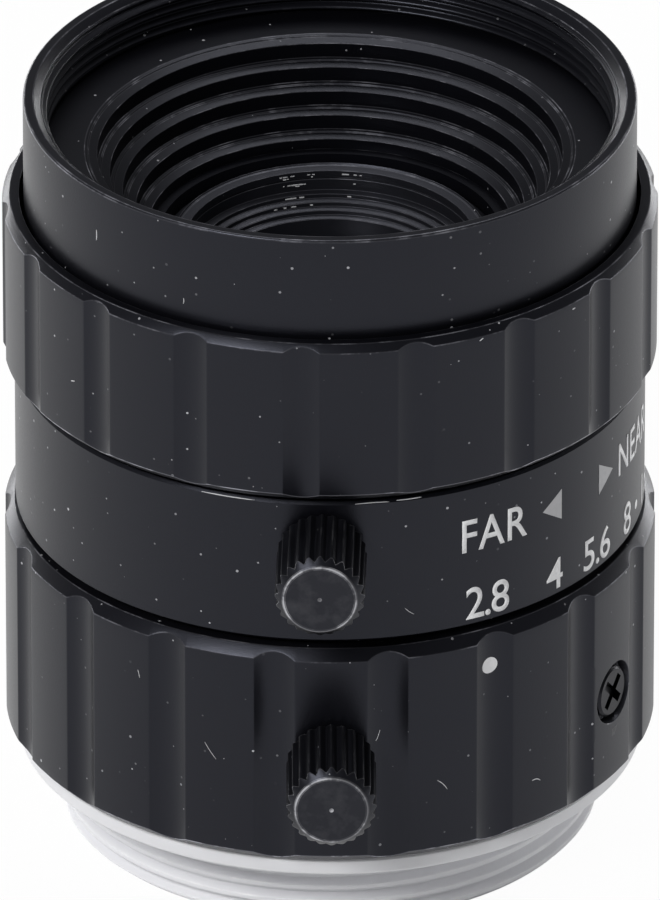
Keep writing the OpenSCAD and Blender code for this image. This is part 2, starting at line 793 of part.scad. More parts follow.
module iris_lock_screw() {
    color(black) radial(iris_ring_set, ring_r + run_fit, iris_z0 + iris_lock_up)
        thumbscrew(ring_r + run_fit - sleeve_r - 0.1);
}

module focus_lock_screw() {
    color(black) radial(0, band_r + 0.1, band_z0 + focus_lock_up) thumbscrew(band_r + 0.1 - cell_r - 0.15);
}

c_mount_ring();
rear_light_baffle();
main_barrel();
focus_retaining_ring();
focus_ring();
front_barrel();
stepped_baffle();
lens_cell();
cell_guide_pins();
front_retaining_ring();
front_element();
front_spacer();
second_element();
middle_spacer();
third_element();
iris_pivot_plate();
iris_blade(1);  // iris_blade_1
iris_blade(2);  // iris_blade_2
iris_blade(3);  // iris_blade_3
iris_blade(4);  // iris_blade_4
iris_blade(5);  // iris_blade_5
iris_blade(6);  // iris_blade_6
iris_rotor();
iris_drive_arm();
rear_cell();
fourth_element();
rear_spacer();
rear_element();
rear_retaining_ring();
iris_ring();
iris_drive_screw();
iris_lock_screw();
focus_lock_screw();
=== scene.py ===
"""Looks of a one inch thread machine vision lens, standing on its mount thread.

Lengths are written in millimetres and turned to metres where a mesh is made. Angles around
the optical axis start at -Y and grow towards +X, as in the part's own frame.
"""
import logging
import math
from dataclasses import dataclass
from enum import Enum

import bmesh
import bpy
import numpy as np
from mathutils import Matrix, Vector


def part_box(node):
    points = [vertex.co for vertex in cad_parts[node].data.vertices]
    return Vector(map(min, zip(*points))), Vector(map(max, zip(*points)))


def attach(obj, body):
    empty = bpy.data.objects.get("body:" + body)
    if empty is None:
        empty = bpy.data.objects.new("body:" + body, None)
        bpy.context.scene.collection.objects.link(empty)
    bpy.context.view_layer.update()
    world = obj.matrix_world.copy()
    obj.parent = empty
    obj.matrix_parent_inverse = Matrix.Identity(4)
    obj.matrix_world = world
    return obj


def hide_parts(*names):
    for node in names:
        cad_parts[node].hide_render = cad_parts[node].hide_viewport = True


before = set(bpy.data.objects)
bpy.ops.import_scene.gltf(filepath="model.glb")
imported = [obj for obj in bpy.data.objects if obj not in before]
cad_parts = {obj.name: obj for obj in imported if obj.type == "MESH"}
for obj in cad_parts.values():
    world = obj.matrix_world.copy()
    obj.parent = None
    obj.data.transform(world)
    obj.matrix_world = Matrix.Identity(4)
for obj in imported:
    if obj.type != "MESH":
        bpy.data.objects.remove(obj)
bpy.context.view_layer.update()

MM = 0.001
LOG = logging.getLogger("lens")


class Marking(Enum):
    """Which way a printed triangle points around the band."""

    LEFT = -1
    RIGHT = 1


def linear(hex_colour: str) -> tuple:
    """Turns an sRGB hex colour to linear RGBA.

    Args:
        hex_colour: six hex digits.
    Returns:
        The linear red, green, blue and an alpha of 1.
    """
    parts = [int(hex_colour[i:i + 2], 16) / 255 for i in (0, 2, 4)]
    return tuple(c / 12.92 if c <= 0.04045 else ((c + 0.055) / 1.055) ** 2.4 for c in parts) + (1.0,)


def add_node(tree: bpy.types.NodeTree, kind: str, links: dict = None, **settings) -> bpy.types.Node:
    """Adds one shader node.

    Args:
        tree: the node tree.
        kind: the node's type name.
        links: input name or index to a value or to another node's output socket.
        settings: attributes of the node itself.
    Returns:
        The new node.
    """
    made = tree.nodes.new(kind)
    for key, value in settings.items():
        setattr(made, key, value)
    for key, value in (links or {}).items():
        if isinstance(value, bpy.types.NodeSocket):
            tree.links.new(value, made.inputs[key])
        else:
            made.inputs[key].default_value = value
    return made


def blank_material(name: str) -> tuple:
    """Makes an empty node material.

    Args:
        name: its name.
    Returns:
        The material, its node tree and the output node.
    """
    material = bpy.data.materials.new(name)
    material.use_nodes = True
    tree = material.node_tree
    tree.nodes.clear()
    return material, tree, tree.nodes.new("ShaderNodeOutputMaterial")


@dataclass(frozen=True)
class Anodised:
    """Aluminium with a dyed oxide skin: satin, dark, and bright along its edges, partly scuffed through and partly
    painted highlight.
    """

    name: str
    colour: str
    tint: str
    roughness: float = 0.4
    grain_mm: float = 0.07
    grain_depth: float = 0.12
    wear: float = 0.5
    wear_and_highlight_colour: str = "a4a4ac"
    dust: float = 0.5
    specular: float = 0.5
    metallic: float = 0.0
    sheen_colour: str = "e7ebff"

    def build(self) -> bpy.types.Material:
        """Builds the node material: blasted grain, cloudy tone, edges lightened as scuffing and painted highlight,
        and settled dust.
        """
        material, tree, out = blank_material(self.name)
        place = add_node(tree, "ShaderNodeTexCoord").outputs["Object"]
        cloud = add_node(tree, "ShaderNodeTexNoise", {"Vector": place, "Scale": 160.0, "Detail": 3.0})
        grain = add_node(tree, "ShaderNodeTexNoise",
                         {"Vector": place, "Scale": 1 / (self.grain_mm * MM), "Detail": 2.0})
        tone = add_node(tree, "ShaderNodeMix", {"Factor": cloud.outputs["Fac"], 6: linear(self.colour),
                                                7: linear(self.tint)}, data_type="RGBA")
        # Painted highlight: the edge attribute lightens every marked edge towards the edge colour, partly
        # scuffed-through oxide and partly the bright line that a lit edge catches.
        edge = add_node(tree, "ShaderNodeAttribute", attribute_name="edge")
        patch = add_node(tree, "ShaderNodeTexNoise", {"Vector": place, "Scale": 620.0, "Detail": 4.0,
                                                      "Roughness": 0.62})
        rubbed_and_lit = add_node(tree, "ShaderNodeMapRange", {"Value": patch.outputs["Fac"], "From Min": 0.5,
                                                       "From Max": 0.72, "To Min": 0.12 * self.wear,
                                                       "To Max": self.wear})
        worn_and_lit = add_node(tree, "ShaderNodeMath", {0: edge.outputs["Fac"], 1: rubbed_and_lit.outputs["Result"]},
                        operation="MULTIPLY")
        bare_and_lit = add_node(tree, "ShaderNodeMix", {"Factor": worn_and_lit.outputs[0], 6: tone.outputs[2],
                                                7: linear(self.wear_and_highlight_colour)}, data_type="RGBA")
        cells = add_node(tree, "ShaderNodeTexVoronoi", {"Vector": place, "Scale": 1 / (0.62 * MM)})
        chosen = add_node(tree, "ShaderNodeSeparateColor", {"Color": cells.outputs["Color"]})
        few = add_node(tree, "ShaderNodeMath", {0: chosen.outputs[0], 1: 1 - self.dust},
                       operation="GREATER_THAN")
        size = add_node(tree, "ShaderNodeMath", {0: chosen.outputs[1], 1: 0.085, 2: 0.03}, operation="MULTIPLY_ADD")
        small = add_node(tree, "ShaderNodeMath", {0: cells.outputs["Distance"], 1: size.outputs[0]},
                         operation="LESS_THAN")
        speck = add_node(tree, "ShaderNodeMath", {0: few.outputs[0], 1: small.outputs[0]}, operation="MULTIPLY")
        weak = add_node(tree, "ShaderNodeMath", {0: chosen.outputs[2], 1: 2.0}, operation="POWER")
        faint = add_node(tree, "ShaderNodeMath", {0: speck.outputs[0], 1: weak.outputs[0]}, operation="MULTIPLY")
        dusty = add_node(tree, "ShaderNodeMix", {"Factor": faint.outputs[0], 6: bare_and_lit.outputs[2],
                                                 7: linear("b9b9bd")}, data_type="RGBA")
        rough = add_node(tree, "ShaderNodeMapRange", {"Value": grain.outputs["Fac"],
                                                      "To Min": self.roughness - 0.05,
                                                      "To Max": self.roughness + 0.07})
        bump = add_node(tree, "ShaderNodeBump", {"Height": grain.outputs["Fac"], "Strength": self.grain_depth,
                                                 "Distance": 0.00002})
        shader = add_node(tree, "ShaderNodeBsdfPrincipled",
                          {"Base Color": dusty.outputs[2], "Roughness": rough.outputs["Result"],
                           "Metallic": self.metallic, "Specular IOR Level": self.specular,
                           "Specular Tint": linear(self.sheen_colour),
                           "Normal": bump.outputs["Normal"]})
        tree.links.new(shader.outputs[0], out.inputs["Surface"])
        return material


@dataclass(frozen=True)
class TurnedMetal:
    """Bare or blackened metal from the lathe: fine rings of the cutter and a directional gloss."""

    name: str
    colour: str
    roughness: float = 0.3
    ring_mm: float = 0.12
    depth: float = 0.25

    def build(self) -> bpy.types.Material:
        """Builds the node material: a wave of tool marks along Z over a soft cloud of tone."""
        material, tree, out = blank_material(self.name)
        place = add_node(tree, "ShaderNodeTexCoord").outputs["Object"]
        rings = add_node(tree, "ShaderNodeTexWave", {"Vector": place, "Scale": 0.16 / (self.ring_mm * MM),
                                                     "Distortion": 1.2, "Detail": 2.0}, bands_direction="Z")
        cloud = add_node(tree, "ShaderNodeTexNoise", {"Vector": place, "Scale": 700.0, "Detail": 3.0})
        rough = add_node(tree, "ShaderNodeMapRange", {"Value": cloud.outputs["Fac"],
                                                      "To Min": self.roughness - 0.08,
                                                      "To Max": self.roughness + 0.1})
        bump = add_node(tree, "ShaderNodeBump", {"Height": rings.outputs["Fac"], "Strength": self.depth,
                                                 "Distance": 0.00001})
        shader = add_node(tree, "ShaderNodeBsdfPrincipled",
                          {"Base Color": linear(self.colour), "Metallic": 1.0,
                           "Roughness": rough.outputs["Result"], "Normal": bump.outputs["Normal"]})
        tree.links.new(shader.outputs[0], out.inputs["Surface"])
        return material


@dataclass(frozen=True)
class CoatedGlass:
    """Optical glass with a dark anti-reflection coating."""

    name: str
    colour: str

    def build(self) -> bpy.types.Material:
        """Builds a glossy transmitting shader whose tone drifts a little across the face."""
        material, tree, out = blank_material(self.name)
        place = add_node(tree, "ShaderNodeTexCoord").outputs["Object"]
        cloud = add_node(tree, "ShaderNodeTexNoise", {"Vector": place, "Scale": 90.0})
        rough = add_node(tree, "ShaderNodeMapRange", {"Value": cloud.outputs["Fac"], "To Min": 0.01, "To Max": 0.04})
        shader = add_node(tree, "ShaderNodeBsdfPrincipled",
                          {"Base Color": linear(self.colour), "Roughness": rough.outputs["Result"],
                           "Transmission Weight": 0.6, "IOR": 1.6, "Specular IOR Level": 0.2})
        tree.links.new(shader.outputs[0], out.inputs["Surface"])
        return material


@dataclass(frozen=True)
class Ink:
    """Pad-printed paint: opaque, faintly uneven."""

    name: str
    colour: str

    def build(self) -> bpy.types.Material:
        """Builds a matt paint whose tone varies with a fine noise."""
        material, tree, out = blank_material(self.name)
        place = add_node(tree, "ShaderNodeTexCoord").outputs["Object"]
        cloud = add_node(tree, "ShaderNodeTexNoise", {"Vector": place, "Scale": 4000.0, "Detail": 3.0})
        thin = add_node(tree, "ShaderNodeMapRange", {"Value": cloud.outputs["Fac"], "From Min": 0.3,
                                                     "From Max": 0.6, "To Min": 0.93, "To Max": 1.0})
        tone = add_node(tree, "ShaderNodeMix", {"Factor": thin.outputs["Result"], 6: linear("55555a"),
                                                7: linear(self.colour)}, data_type="RGBA")
        shader = add_node(tree, "ShaderNodeBsdfPrincipled", {"Base Color": tone.outputs[2], "Roughness": 0.6})
        tree.links.new(shader.outputs[0], out.inputs["Surface"])
        return material


# The edge settings below lighten marked edges, partly as scuffing and partly as painted highlights; they are
# strongest on the light trap's steps and the knob ends.
BLACK = Anodised("satin black anodised aluminium", "0a0a0e", "0e0e12", roughness=0.3, wear=0.6,
                 grain_depth=0.2, specular=0.38, dust=0.9)
HOOD_BLACK = Anodised("matt black anodised aluminium", "060609", "08080c", roughness=0.36, wear=0.8,
                      wear_and_highlight_colour="8c8c93", dust=0.3, specular=0.3)
KNOB_BLACK = Anodised("faced black anodised aluminium", "0a0a0d", "0f0f12", roughness=0.34, wear=1.0,
                      specular=0.38, dust=0.3, wear_and_highlight_colour="b9b9bd")
RING_BLACK = Anodised("thin black anodised aluminium", "111114", "1c1c20", roughness=0.42, wear=0.9,
                      wear_and_highlight_colour="8c8c93", dust=0.3)
# On the silver mount the white edge colour paints highlights on its edges and thread crests.
SILVER = Anodised("clear anodised aluminium", "e9e9ec", "f2f2f4", roughness=0.4, wear=1.0, dust=0.0,
                  wear_and_highlight_colour="ffffff", metallic=0.0, grain_depth=0.05, sheen_colour="ffffff")
STEEL = TurnedMetal("turned steel", "8f9094")
DARK_STEEL = TurnedMetal("blackened steel", "2c2c30", roughness=0.36, depth=0.1)
BLADE = TurnedMetal("matt blackened spring steel", "141416", roughness=0.55, depth=0.05)
GLASS = CoatedGlass("coated optical glass", "39424a")
WHITE_INK = Ink("white printing ink", "f2f2f3")
THIN_INK = Ink("thin white printing ink", "bcbcbe")
# This finish also paints the glints on the front retaining ring: pale flakes standing for highlights.
LINT_AND_GLINT = Ink("dust and lint", "d9d9dc")


def dress(piece: bpy.types.Object, material: bpy.types.Material) -> None:
    """Gives every slot of a piece one material.

    Args:
        piece: the object.
        material: the finish.
    """
    if not piece.material_slots:
        piece.data.materials.append(material)
    for slot in piece.material_slots:
        slot.material = material


def rounded(corners: np.ndarray, radius: float, steps: int = 4) -> tuple:
    """Rounds every corner of closed outlines.

    Each corner P becomes the curve (1-u)^2 A + 2u(1-u) P + u^2 B, where A and B lie on its two
    sides at the given distance, or at 0.45 of a side that is shorter.

    Args:
        corners: outline corners, shape (rows, corners, 2), each row closed.
        radius: distance from a corner at which its rounding starts.
        steps: spans of each rounding.
    Returns:
        The points, shape (rows, points, 2), and for each point 1 in the middle of a rounding
        and 0 where it meets a flat.
    """
    before = np.roll(corners, 1, axis=1) - corners
    after = np.roll(corners, -1, axis=1) - corners
    ends = []
    for side in (before, after):
        length = np.linalg.norm(side, axis=2, keepdims=True)
        ends.append(corners + side * np.minimum(radius / np.maximum(length, 1e-9), 0.45))
    u = np.linspace(0, 1, steps + 1)[None, None, :, None]
    curve = (1 - u) ** 2 * ends[0][:, :, None] + 2 * u * (1 - u) * corners[:, :, None] + u ** 2 * ends[1][:, :, None]
    mask = np.tile(np.sin(np.linspace(0, math.pi, steps + 1)) > 0.3, corners.shape[1])
    return curve.reshape(len(corners), -1, 2), mask.astype(float)


def make_mesh(name: str, points: np.ndarray, faces: np.ndarray, edge: np.ndarray = None) -> bpy.types.Object:
    """Makes an object from arrays, smooth shaded, with an optional edge attribute for scuffing and painted
    highlight.

    Args:
        name: the piece's name.
        points: vertices in millimetres, shape (n, 3).
        faces: vertex numbers, shape (m, 4).
        edge: one value per vertex, 1 on an edge, which is lightened as scuffing and painted highlight.
    Returns:
        The object, at the origin.
    """
    mesh = bpy.data.meshes.new(name)
    mesh.from_pydata((points * MM).tolist(), [], faces.tolist())
    mesh.polygons.foreach_set("use_smooth", np.ones(len(mesh.polygons), bool))
    if edge is not None:
        mesh.attributes.new("edge", "FLOAT", "POINT").data.foreach_set("value", edge.astype(np.float32).ravel())
    mesh.update()
    piece = bpy.data.objects.new(name, mesh)
    bpy.context.scene.collection.objects.link(piece)
    return piece


def grid_faces(rows: int, columns: int, wrap_columns: bool) -> np.ndarray:
    """Numbers the quads of a grid whose rows close around.

    Args:
        rows: vertices around.
        columns: vertices along the outline.
        wrap_columns: whether the outline closes too.
    Returns:
        Vertex numbers, shape (quads, 4).
    """
    i = np.arange(rows)[:, None]
    j = np.arange(columns if wrap_columns else columns - 1)[None, :]
    here, down = i * columns + j, ((i + 1) % rows) * columns + j
    across = (j + 1) % columns
    return np.stack([here, down, ((i + 1) % rows) * columns + across, i * columns + across], axis=2).reshape(-1, 4)


def spin(name: str, angles: np.ndarray, outline: np.ndarray, edge: np.ndarray) -> bpy.types.Object:
    """Turns outlines around the axis into one closed surface.

    A point (r, z) at angle a goes to (r sin a, -r cos a, z).

    Args:
        name: the piece's name.
        angles: angles in radians, shape (rows,).
        outline: (r, z) for each angle, shape (rows, points, 2), or (1, points, 2) for all.
        edge: the edge lightening of each point, scuffing and painted highlight, shape (points,) or (rows, points).
    Returns:
        The object.
    """
    rows = len(angles)
    full = np.broadcast_to(outline, (rows,) + outline.shape[1:])
    r, z = full[..., 0], full[..., 1]
    points = np.stack([r * np.sin(angles)[:, None], -r * np.cos(angles)[:, None], z], axis=2)
    faces = grid_faces(rows, full.shape[1], True)
    first = full[0]
    area = np.sum(first[:, 0] * np.roll(first[:, 1], -1) - np.roll(first[:, 0], -1) * first[:, 1])
    if area < 0:
        faces = faces[:, ::-1]
    worn_and_lit = np.broadcast_to(edge, (rows, full.shape[1]))
    return make_mesh(name, points.reshape(-1, 3), faces, worn_and_lit)


def lathe(name: str, corners: list, radius: float = 0.05, rows: int = 360) -> bpy.types.Object:
    """Turns one closed outline, its corners rounded, around the axis.

    Args:
        name: the piece's name.
        corners: (r, z) pairs in millimetres.
        radius: how far each corner's rounding reaches.
        rows: spans around.
    Returns:
        The object.
    """
    outline, edge = rounded(np.array([corners], float), radius)
    return spin(name, np.arange(rows) * 2 * math.pi / rows, outline, edge)


@dataclass
class FlutedRing:
    """A grip ring with concave flutes that run out through both chamfers in arches."""

    name: str
    body: str
    z0: float
    z1: float
    outer: float
    bore: float
    low_chamfer: float
    top_chamfer: float
    phase: float
    web: tuple = ()
    recess: tuple = ()
    count: int = 18
    depth: float = 0.3
    cutter: float = 1.9

    def flute(self, angles: np.ndarray) -> np.ndarray:
        """Radius at which a ray meets the round cutter of the nearest flute.

        The cutter's circle stands at distance c from the axis, so at an angle d from its middle
        the ray meets it at c cos d - sqrt(k^2 - c^2 sin^2 d), k being the cutter's radius.

        Args:
            angles: angles in radians.
        Returns:
            The radius, or well outside the ring on a land.
        """
        pitch = 2 * math.pi / self.count
        off = (angles - math.radians(self.phase) + pitch / 2) % pitch - pitch / 2
        centre = self.outer - self.depth + self.cutter
        under = self.cutter ** 2 - (centre * np.sin(off)) ** 2
        met = centre * np.cos(off) - np.sqrt(np.maximum(under, 0))
        return np.where(under > 0, met, self.outer + 1)

    def side(self, angles: np.ndarray) -> np.ndarray:
        """Radius of the ring's side, land and flute joined by a small round.

        Args:
            angles: angles in radians.
        Returns:
            The radius at each angle.
        """
        met = self.flute(angles)
        return 0.5 * (self.outer + met - np.sqrt((self.outer - met) ** 2 + 0.02 ** 2))

    def angles(self) -> np.ndarray:
        """Angles with dense rows at each flute's two edges."""
        c = self.outer - self.depth + self.cutter
        half = math.degrees(math.acos((self.outer ** 2 + c ** 2 - self.cutter ** 2) / (2 * self.outer * c)))
        one = np.concatenate([np.linspace(-half + 0.25, half - 0.25, 15), np.linspace(half - 0.15, half + 0.2, 5),
                              np.linspace(half + 0.6, 20 - half - 0.6, 12),
                              np.linspace(20 - half - 0.2, 20 - half + 0.15, 5)])
        scale = 18 / self.count
        turns = np.arange(self.count)[:, None] * 360 / self.count
        return np.radians(self.phase + turns + one[None, :] * scale).ravel()

    def build(self, material: bpy.types.Material) -> bpy.types.Object:
        """Builds the ring.

        Args:
            material: the finish.
        Returns:
            The object, riding on its body and standing for its solid.
        """
        angles = self.angles()
        side = self.side(angles)
        low_r, top_r = self.outer - self.low_chamfer, self.outer - self.top_chamfer
        rows = np.ones_like(side)
        corners = [(self.bore * rows, self.z0 * rows)]
        if self.web:
            corners = [(self.web[0] * rows, self.z0 * rows)]
        corners += [
            (low_r * rows, self.z0 * rows),
            (side, self.z0 + (side - low_r)),
            (side, self.z1 - (side - top_r)),
            (top_r * rows, self.z1 * rows),
            (self.bore * rows, self.z1 * rows),
        ]
        if self.web:
            corners += [(self.bore * rows, self.web[1] * rows), (self.web[0] * rows, self.web[1] * rows)]
        outline, edge = rounded(np.stack([np.stack(c, axis=1) for c in corners], axis=1), 0.045)
        start = 5 * 3 - 1
        share = np.linspace(0, 1, 26)[None, 1:-1, None]
        straight = outline[:, start:start + 1] * (1 - share) + outline[:, start + 1:start + 2] * share
        outline = np.concatenate([outline[:, :start + 1], straight, outline[:, start + 1:]], axis=1)
        edge = np.concatenate([edge[:start + 1], np.zeros(24), edge[start + 1:]])
        # The lower chamfer's edges get four times the lightening: a painted highlight line along the ring's lower
        # edge, with some scuffing.
        edge = np.where(np.arange(len(edge)) <= start, 4.0 * edge, 0.75 * edge)
        piece = spin(self.name, angles, outline, edge)
        if self.recess:
            self.bore_recess(piece, angles, outline, start)
        dress(piece, material)
        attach(piece, self.body)
        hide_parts(self.name.replace("_dressed", ""))
        return piece


    def bore_recess(self, piece: bpy.types.Object, angles: np.ndarray, outline: np.ndarray, start: int) -> None:
        """Opens a block of the side's grid and fills it up to a round counterbore.

        The new vertices run from the block's border to the bore's circle in (angle, height), each
        put on the side's own radius; from the circle they go straight in, along the bore's axis.

        Args:
            piece: the ring.
            angles: angles of its rows, in radians.
            outline: its outlines, (r, z).
            start: the outline point at which the straight side starts.
        """
        turn, height, radius, floor_r, shaft = self.recess
        columns = outline.shape[1]
        off = (angles - math.radians(turn) + math.pi) % (2 * math.pi) - math.pi
        order = np.argsort(off)
        rows = order[np.abs(off[order]) < math.radians(8.6)]
        levels = outline[0, :, 1]
        block = np.arange(start + 1, start + 25)
        block = block[np.abs(levels[block] - height) < 2.3]
        inside = np.zeros((len(angles), columns), bool)
        inside[np.ix_(rows[:-1], block[:-1])] = True
        numbers = np.concatenate([rows * columns + block[0], rows[-1] * columns + block[1:],
                                  rows[-2::-1] * columns + block[-1], rows[0] * columns + block[-2:0:-1]])
        around = np.concatenate([off[rows], np.full(len(block) - 1, off[rows[-1]]), off[rows[-2::-1]],
                                 np.full(len(block) - 2, off[rows[0]])])
        up = np.concatenate([np.full(len(rows), levels[block[0]]), levels[block[1:]],
                             np.full(len(rows) - 1, levels[block[-1]]), levels[block[-2:0:-1]]]) - height
        beta = np.arctan2(up, around * self.outer)
        circle = np.stack([radius * np.cos(beta) / self.outer, radius * np.sin(beta)], axis=1)
        border = np.stack([around, up], axis=1)
        share = np.linspace(1, 0, 22)[1:, None, None] ** 1.3
        grid = circle + (border - circle) * share
        r = self.side(grid[..., 0] + math.radians(turn)) - 0.0
        local = np.stack([r * np.sin(grid[..., 0]), -r * np.cos(grid[..., 0]), grid[..., 1] + height], axis=2)
        ring = local[-1]
        walls = []
        for scale, reach in ((0.985, 0.03), (0.985, None), (0.95, None), (shaft / radius, None)):
            wall = ring.copy()
            wall[:, 0] *= scale
            wall[:, 2] = height + (wall[:, 2] - height) * scale
            wall[:, 1] = wall[:, 1] + reach if reach else -floor_r
            walls.append(wall)
        walls[1][:, 1] -= 0.05
        local = np.concatenate([local, np.stack(walls)], axis=0)
        a = math.radians(turn)
        x, y, z = local[..., 0], local[..., 1], local[..., 2]
        made = np.stack([x * math.cos(a) - y * math.sin(a), x * math.sin(a) + y * math.cos(a), z], axis=2)
        old = np.empty(len(piece.data.vertices) * 3, np.float32)
        piece.data.vertices.foreach_get("co", old)
        old = old.reshape(-1, 3) / MM
        worn_and_lit = np.empty(len(old), np.float32)
        piece.data.attributes["edge"].data.foreach_get("value", worn_and_lit)
        faces = grid_faces(len(angles), columns, True).reshape(len(angles), columns, 4)[~inside]
        count = len(numbers)
        ladder = np.concatenate([numbers[None], len(old) + np.arange(made[..., 0].size).reshape(-1, count)])
        here, after = ladder[:-1], ladder[1:]
        patch = np.stack([here, np.roll(here, -1, axis=1), np.roll(after, -1, axis=1), after], axis=2).reshape(-1, 4)
        # Painted highlight, with some scuffing, along the counterbore's lip.
        lip = np.zeros(made.shape[:2], np.float32)
        lip[20:22] = 0.6
        name = piece.data.name
        fresh = make_mesh(name, np.concatenate([old, made.reshape(-1, 3)]), np.concatenate([faces, patch]),
                          np.concatenate([worn_and_lit, lip.ravel()]))
        stale, piece.data = piece.data, fresh.data
        bpy.data.objects.remove(fresh)
        bpy.data.meshes.remove(stale)
        piece.data.name = name


@dataclass
class KnurledScrew:
    """A thumbscrew with a straight-knurled head and a faced end."""

    node: str
    angle: float
    seat: float
    height: float
    radius: float = 2.1
    length: float = 4.62
    chamfer: float = 0.4
    teeth: int = 24
    depth: float = 0.19
    shank: float = 1.0
    shank_len: float = 1.2

    def build(self, material: bpy.types.Material) -> bpy.types.Object:
        """Builds the screw: the smaller of a toothed radius and a chamfered outline, at each height.

        Args:
            material: the finish.
        Returns:
            The object, riding on its own body.
        """
        per_tooth = 10
        angles = np.arange(self.teeth * per_tooth) * 2 * math.pi / (self.teeth * per_tooth)
        wave = np.abs(((angles * self.teeth / (2 * math.pi)) % 1) * 2 - 1)
        tooth = self.radius - self.depth * (1 - np.clip(wave * 1.25 - 0.05, 0, 1))
        rows = np.ones_like(angles)
        end_r = self.radius - self.chamfer
        top = self.length
        corners = np.stack([np.stack(c, axis=1) for c in [
            (0.02 * rows, -self.shank_len * rows),
            (self.shank * rows, -self.shank_len * rows),
            (self.shank * rows, 0 * rows),
            (1.85 * rows, 0 * rows),
            (tooth, (tooth - 1.85) * 0.8),
            (tooth, top - (tooth - end_r)),
            ((end_r + 0.06) * rows, (top - 0.06) * rows),
            (end_r * rows, top * rows),
            ((end_r - 0.09) * rows, top * rows),
            (0.09 * rows, (top - 0.01) * rows),
            (0.05 * rows, (top - 0.05) * rows),
            (0.015 * rows, (top - 0.05) * rows),
        ]], axis=1)
        outline, edge = rounded(corners, 0.03)
        # Painted highlights over scuffed edges: bright tooth crests, a bright ring round the end face's edge and at
        # the centre pip; the faced end is a little lighter.
        crest = (wave > 0.86)[:, None] & (np.abs(outline[..., 0] - tooth[:, None]) < 1e-3)
        rim = (np.abs(outline[..., 0] - end_r) < 0.035) & (outline[..., 1] > top - 0.1)
        pip = (outline[..., 0] < 0.095) & (outline[..., 1] > top - 0.1)
        face = (outline[..., 0] < end_r - 0.05) & (outline[..., 1] > top - 0.03)
        worn_and_lit = np.maximum(np.tile(edge * 0.6, (len(angles), 1)), 0.15 * crest)
        worn_and_lit = np.maximum(np.maximum(worn_and_lit, 0.06 * face), 2.6 * (rim | pip))
        piece = spin(self.node + "_dressed", angles, outline, worn_and_lit)
        turn = math.radians(self.angle)
        count = len(piece.data.vertices)
        local = np.empty(count * 3, np.float32)
        piece.data.vertices.foreach_get("co", local)
        x, y, up = local.reshape(-1, 3).T / MM
        out = self.seat + up
        placed = np.stack([out * math.sin(turn) + x * math.cos(turn),
                           -out * math.cos(turn) + x * math.sin(turn),
                           self.height + y], axis=1) * MM
        piece.data.vertices.foreach_set("co", placed.astype(np.float32).ravel())
        piece.data.update()
        dress(piece, material)
        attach(piece, self.node)
        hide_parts(self.node)
        return piece


@dataclass
class MountRing:
    """Silver mount ring: seat flange, runout groove and the 32 threads per inch screw thread."""

    crest: float = 12.7
    pitch: float = 0.79375
    depth: float = 0.42
    end: float = -3.85
    groove: float = -1.1
    flange: float = 14.8
    flange_t: float = 0.84
    bore: float = 11.4
    spigot: float = 12.98

    def build(self, material: bpy.types.Material) -> bpy.types.Object:
        """Builds the ring.

        The thread's radius falls from the crest by the depth times a triangle wave of
        height / pitch minus angle / full turn, with flattened crests and roots.

        Args:
            material: the finish.
        Returns:
            The object.
        """
        rows = 480
        angles = np.arange(rows) * 2 * math.pi / rows
        height = np.linspace(self.end + 0.001, self.groove, 130)
        phase = (height[None, :] - self.end) / self.pitch - angles[:, None] / (2 * math.pi)
        wave = np.clip(np.abs((phase % 1) * 2 - 1) * 1.7 - 0.42, 0, 1)
        # Painted highlights: bright lines along the thread crests.
        crest = np.exp(-((np.abs((phase % 1) * 2 - 1) - 0.25) / 0.09) ** 2)
        start = np.clip((height - self.end) / 0.35, 0, 1)[None, :]
        r = self.crest - self.depth * wave
        r = np.minimum(r, self.crest - 0.4 + 0.4 * start)
        neck = self.crest - self.depth - 0.12
        last = np.clip((self.groove - height) / 0.12, 0, 1)[None, :]
        r = neck + (r - neck) * last
        thread = np.stack([r, np.broadcast_to(height, r.shape)], axis=2)
        before, _ = rounded(np.array([[(self.bore, self.end + 0.2), (self.bore + 0.2, self.end)]], float), 0.02)
        lip = self.bore - 0.5
        after, edge = rounded(np.array([[
            (neck, self.groove + 0.05), (neck, -0.001), (self.flange - 0.12, 0), (self.flange, 0.12),
            (self.flange, self.flange_t - 0.12), (self.flange - 0.12, self.flange_t),
            (self.spigot, self.flange_t), (self.spigot, self.flange_t + 2.2),
            (12.35, self.flange_t + 2.2), (12.35, self.flange_t), (lip, self.flange_t), (lip, 0.34),
            (self.bore, 0.34)]], float), 0.04)
        parts = [np.broadcast_to(before, (rows,) + before.shape[1:]), thread,
                 np.broadcast_to(after[:, 3:-3], (rows, after.shape[1] - 6, 2))]
        worn_and_lit = [np.zeros((rows, before.shape[1])), crest, np.broadcast_to(0.35 * edge[3:-3], (rows, len(edge) - 6))]
        piece = spin("mount_ring_dressed", angles, np.concatenate(parts, axis=1), np.concatenate(worn_and_lit, axis=1))
        dress(piece, material)
        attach(piece, "fixed_barrel")
        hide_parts("c_mount_ring")
        return piece


